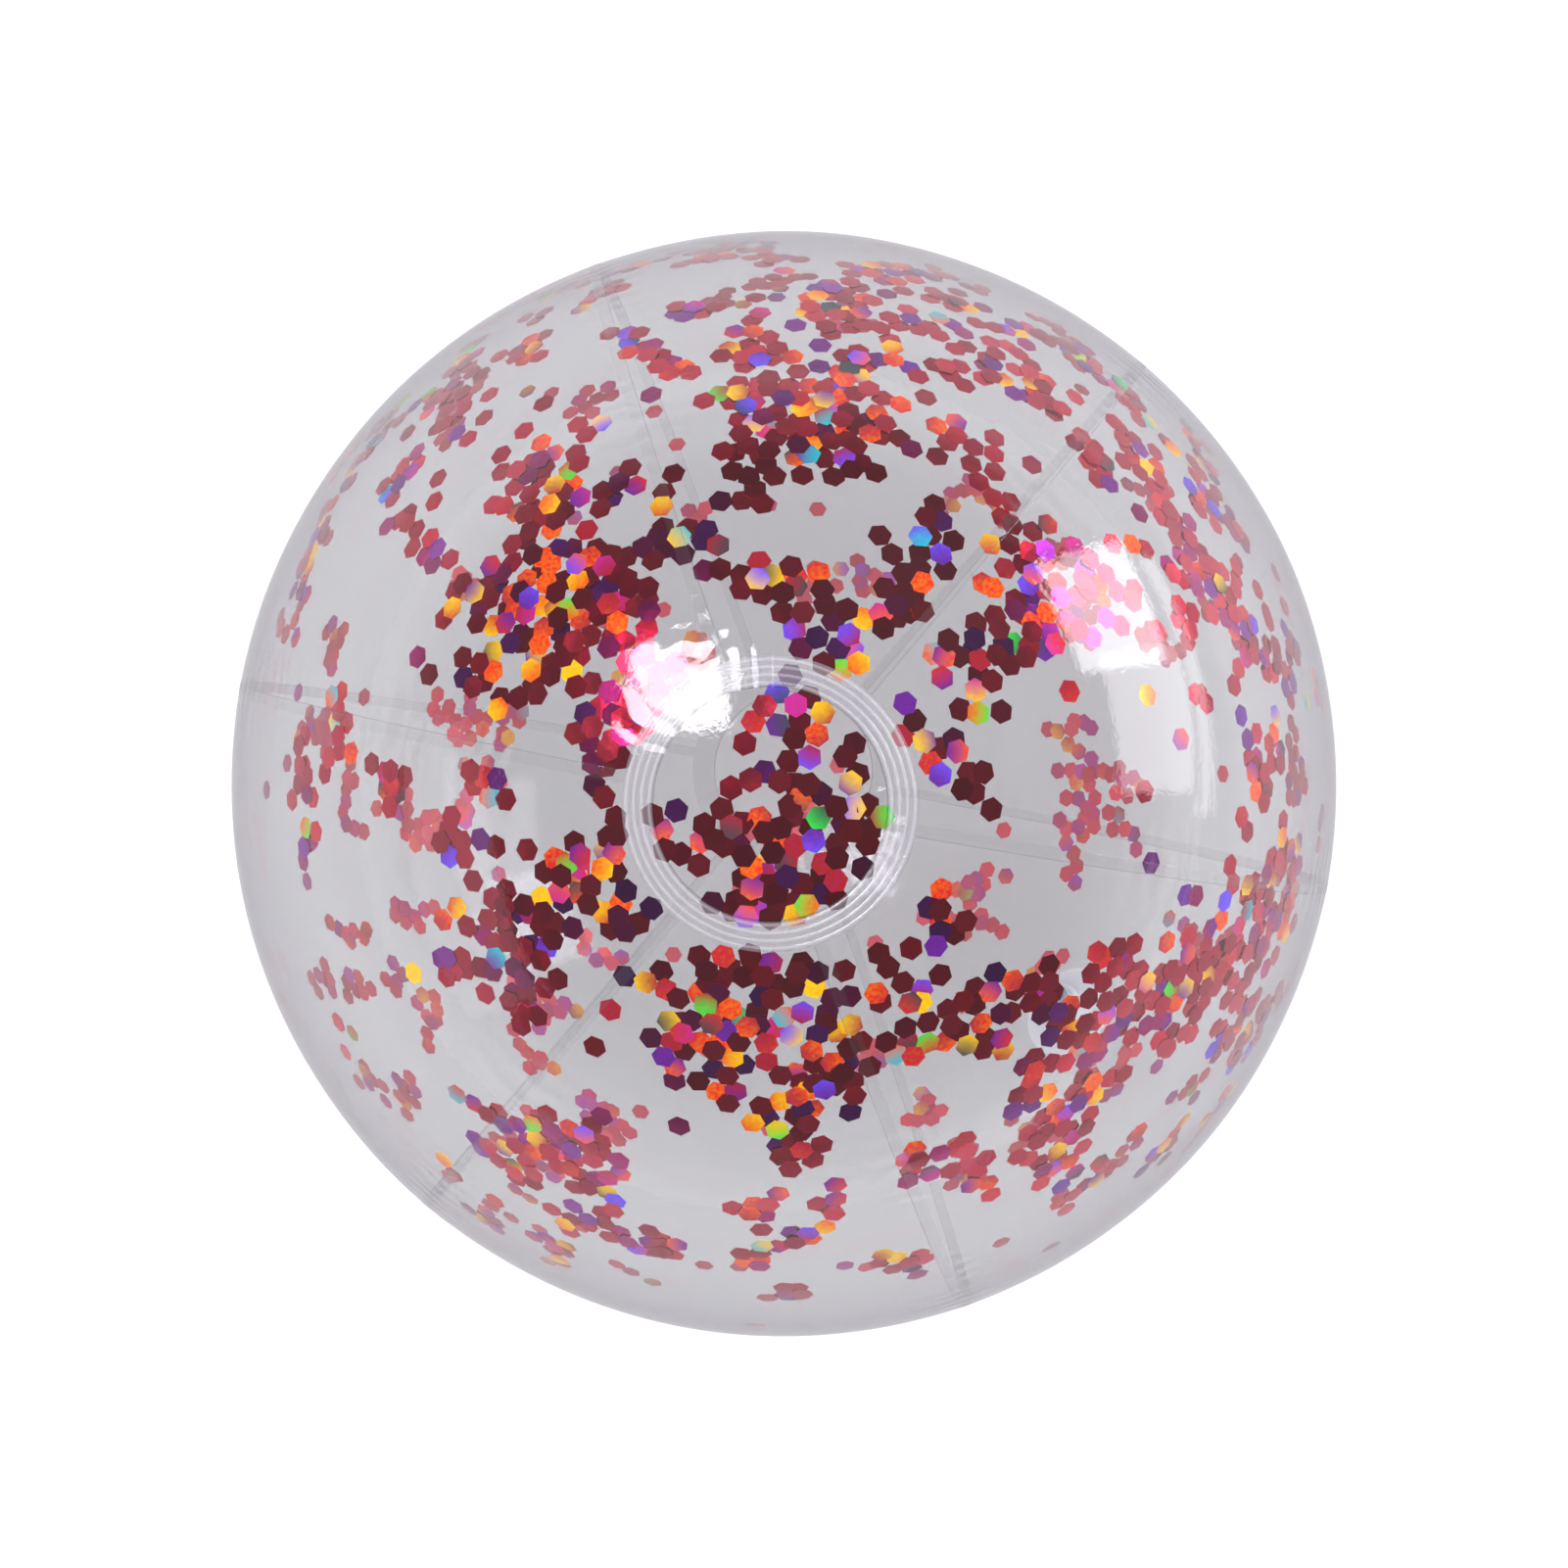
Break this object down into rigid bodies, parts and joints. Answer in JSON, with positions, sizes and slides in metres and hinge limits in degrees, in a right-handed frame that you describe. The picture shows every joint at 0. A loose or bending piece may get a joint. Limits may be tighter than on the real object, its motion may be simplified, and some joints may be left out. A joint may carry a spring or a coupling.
{
  "type": "inflatable beach ball",
  "caption": "Clear inflatable beach ball with lap-welded gores, end discs, a push-in air valve and loose holographic confetti inside.",
  "frame": {"origin": "centre of the inflated ball", "axes": "+Z through the centre of the top end disc, +X through the seam between the sixth and first gores, the air valve points along -Y and down"},
  "size_m": [0.3004, 0.3, 0.3006],
  "materials": {
    "clear_film": "glossy clear soft vinyl film",
    "valve_vinyl": "soft translucent moulded vinyl",
    "confetti_foil": "rose-red metallised holographic film"
  },
  "bodies": {
    "ball": {"panel_1": "clear_film", "panel_2": "clear_film", "panel_3": "clear_film", "panel_4": "clear_film", "panel_5": "clear_film", "panel_6": "clear_film", "top_disc": "clear_film", "bottom_disc": "clear_film", "valve_flange": "valve_vinyl", "valve_web": "valve_vinyl", "confetti_1": "confetti_foil", "confetti_2": "confetti_foil", "confetti_3": "confetti_foil", "confetti_4": "confetti_foil", "confetti_5": "confetti_foil", "confetti_6": "confetti_foil"},
    "stem": {"valve_stem": "valve_vinyl", "plug_tether": "valve_vinyl", "flap_anchor": "clear_film"},
    "plug": {"valve_plug": "valve_vinyl"},
    "flap": {"check_flap": "clear_film"}
  },
  "joints": [
    {"name": "stem_slide", "type": "slide", "parent": "ball", "child": "stem", "axis": [0, -0.766, -0.6428], "range_m": [0, 0.012], "deforming": ["valve_web"]},
    {"name": "plug_hinge", "type": "hinge", "parent": "stem", "child": "plug", "pos_m": [0, -0.12045, -0.09167], "axis": [-1, 0, 0], "range_deg": [0, 150], "deforming": ["plug_tether"]},
    {"name": "flap_hinge", "type": "hinge", "parent": "stem", "child": "flap", "pos_m": [0, -0.11027, -0.08763], "axis": [1, 0, 0], "range_deg": [0, 70], "stiffness_Nm_per_rad": 0.00005}
  ]
}
